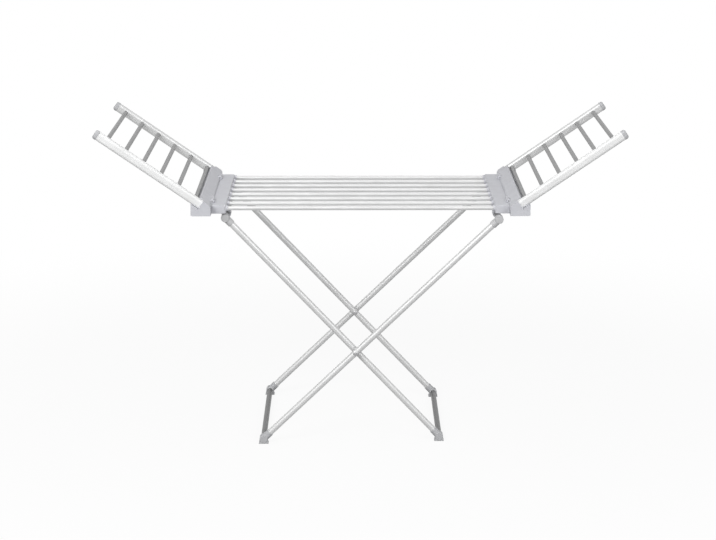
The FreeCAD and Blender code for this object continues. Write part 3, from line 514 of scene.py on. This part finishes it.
def cross_of(size):
    """The twelve corners of a cross about the middle."""
    near, far = size * CROSS_WIDTH / 2, size * CROSS_REACH
    arm = [(far, -near), (far, near), (near, near)]
    return [(x * c - y * s, x * s + y * c) for c, s in ((1, 0), (0, 1), (-1, 0), (0, -1)) for x, y in arm]


def loop_of_points(shape, place, points, height):
    """New points of a mesh along an outline, at a height above a place."""
    return [shape.verts.new(place @ Vector((x, y, height))) for x, y in points]


def join_loops(shape, lower, upper):
    """Faces between two loops with the same number of points."""
    for number in range(len(lower)):
        after = (number + 1) % len(lower)
        shape.faces.new((lower[number], lower[after], upper[after], upper[number]))


def loop_edges(shape, points):
    """The closed loop of edges through some points."""
    pairs = zip(points, points[1:] + points[:1])
    return [shape.edges.get(pair) or shape.edges.new(pair) for pair in pairs]


def add_screw(shape, place):
    """A pan head with a cross recess, standing on its place."""
    rings = [loop_of_points(shape, place, circle_of(radius, SCREW_SEGMENTS), height)
             for radius, height in SCREW_RINGS]
    shape.faces.new(rings[0][::-1])
    for lower, upper in zip(rings, rings[1:]):
        join_loops(shape, lower, upper)
    top = SCREW_RINGS[-1][1]
    mouth = loop_of_points(shape, place, cross_of(1.0), top)
    bottom = loop_of_points(shape, place, cross_of(CROSS_TAPER), top - CROSS_DEPTH)
    bmesh.ops.triangle_fill(shape, edges=loop_edges(shape, rings[-1]) + loop_edges(shape, mouth), use_beauty=True)
    join_loops(shape, mouth, bottom)
    shape.faces.new(bottom)


print(f"a screw head is {2 * SCREW_RINGS[0][0] * 1000:.1f} mm wide")

# %% [markdown]
# A new piece has to move with the part of the airer that it is fixed to.

# %% New pieces
def new_piece(name, build, finish, body):
    """A new piece of the airer: its mesh from a build function, its finish, and the body that carries it."""
    shape = bmesh.new()
    build(shape)
    bmesh.ops.recalc_face_normals(shape, faces=shape.faces[:])
    mesh = bpy.data.meshes.new(name)
    shape.to_mesh(mesh)
    shape.free()
    mesh.materials.append(finish)
    piece = put_in_scene(name, mesh)
    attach(piece, body)


# %% [markdown]
# The screws stand upside down on the covers. They could be moved there by eye, but then they would float or sink, so
# their places follow from the CAD sizes. The end covers lie level and flush with the lower edge of their housings, so
# the height comes from a housing's box. The root covers slope with the wings, so a screw there is found by going
# along the wing from the hinge axis and then square to it, and is turned by the wing's slope about Y.

# %% Screws on the covers
from mathutils import Matrix

SCREW_ROWS = (-0.19, -0.05, 0.05, 0.19)
END_SCREW_X = 0.3964
HINGE_AXIS = Vector((0.4194, 0.0, 0.703))
ROOT_SCREW_REACH = 0.021
ROOT_COVER_DROP = 0.028


def face_down(middle, slope=0.0):
    """The place of a screw whose head points down, square to a cover that slopes about Y."""
    return Matrix.Translation(middle) @ Matrix.Rotation(slope, 4, "Y") @ Matrix.Rotation(pi, 4, "X")


def end_cover_screws(shape):
    """The screws of both end covers."""
    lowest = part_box("left_end_housing")[0]
    for side in (-1, 1):
        for row in SCREW_ROWS:
            add_screw(shape, face_down(Vector((side * END_SCREW_X, row, lowest[2]))))


def right_root_cover_screws(shape, turn=Matrix.Identity(4)):
    """The screws of the right root cover, or of the left one after half a turn about Z."""
    slope = radians(WING_SLOPE)
    along = Vector((cos(slope), 0, sin(slope)))
    square = Vector((-along.z, 0, along.x))
    middle = HINGE_AXIS + ROOT_SCREW_REACH * along - ROOT_COVER_DROP * square
    for row in SCREW_ROWS:
        add_screw(shape, turn @ face_down(Vector((middle.x, row, middle.z)), -slope))


def left_root_cover_screws(shape):
    """The screws of the left root cover."""
    right_root_cover_screws(shape, Matrix.Rotation(pi, 4, "Z"))


new_piece("end_cover_screws", end_cover_screws, steels["bright"], "panel")
new_piece("left_root_cover_screws", left_root_cover_screws, steels["bright"], "left_wing")
new_piece("right_root_cover_screws", right_root_cover_screws, steels["bright"], "right_wing")
print(f"{len(SCREW_ROWS)} screws on each of the four covers")

# %% [markdown]
# ## Marks on the rocker
# A rocker switch says on and off with a bar and a ring. A picture could show them, but then they would not be part
# of the shape, so each mark is a thick print that stands a little proud of the rocker. The rocker's face has two
# flat halves that meet in a shallow valley. Each mark is drawn flat and then laid on its half, whose place and
# slope follow from the rocker's own sizes.

# %% Switch marks
ROCKER_PIVOT = Vector((0.3924, 0.2355, 0.68875))
ROCKER_TILT = 8.0
ROCKER_HALF = 0.0049
ROCKER_RISE = 0.0032
ROCKER_DIP = 0.0012
MARK_PROUD = 0.00006
MARK_SUNK = 0.0001
MARK_HALF_HEIGHT = 0.00095
MARK_ROUNDING = 0.00005
RING_BORE = 0.00061
RING_SEGMENTS = 40
BAR_HALF_WIDTH = 0.0002
BAR_END_SEGMENTS = 10


def on_rocker(side):
    """The middle of one half of the rocker's face, with X along the face and Z out of it."""
    slope = side * atan2(ROCKER_DIP, ROCKER_HALF)
    turn = Matrix.Rotation(radians(ROCKER_TILT), 4, "Z")
    middle = Vector((side * ROCKER_HALF / 2, ROCKER_RISE - ROCKER_DIP / 2, 0))
    upright = Matrix.Rotation(slope, 4, "Z") @ Matrix.Rotation(-pi / 2, 4, "X")
    return Matrix.Translation(ROCKER_PIVOT) @ turn @ Matrix.Translation(middle) @ upright


def bar_of(shrink):
    """Points round an upright bar with round ends, a little smaller all round."""
    half_width, half_height = BAR_HALF_WIDTH - shrink, MARK_HALF_HEIGHT - shrink
    straight = half_height - half_width
    angles = [pi * number / BAR_END_SEGMENTS for number in range(BAR_END_SEGMENTS + 1)]
    upper = [(half_width * cos(angle), straight + half_width * sin(angle)) for angle in angles]
    return upper + [(-x, -y) for x, y in upper]


def raised_band(shape, place, outlines):
    """Faces through outlines of the same number of points, each at its height."""
    loops = [loop_of_points(shape, place, points, height) for points, height in outlines]
    for lower, upper in zip(loops, loops[1:]):
        join_loops(shape, lower, upper)
    return loops


def switch_marks(shape):
    """A ring on one half of the rocker, and a bar on the other."""
    ring = [(MARK_HALF_HEIGHT, -MARK_SUNK), (MARK_HALF_HEIGHT, MARK_PROUD / 2),
            (MARK_HALF_HEIGHT - MARK_ROUNDING, MARK_PROUD), (RING_BORE + MARK_ROUNDING, MARK_PROUD),
            (RING_BORE, MARK_PROUD / 2), (RING_BORE, -MARK_SUNK)]
    outlines = [(circle_of(radius, RING_SEGMENTS), height) for radius, height in ring]
    loops = raised_band(shape, on_rocker(-1), outlines)
    join_loops(shape, loops[-1], loops[0])
    bar = [(bar_of(0), -MARK_SUNK), (bar_of(0), MARK_PROUD / 2), (bar_of(MARK_ROUNDING), MARK_PROUD)]
    loops = raised_band(shape, on_rocker(1), bar)
    shape.faces.new(loops[0][::-1])
    shape.faces.new(loops[-1])


new_piece("switch_marks", switch_marks, plastics["pale"], "rocker")
print("a ring and a bar on the rocker")
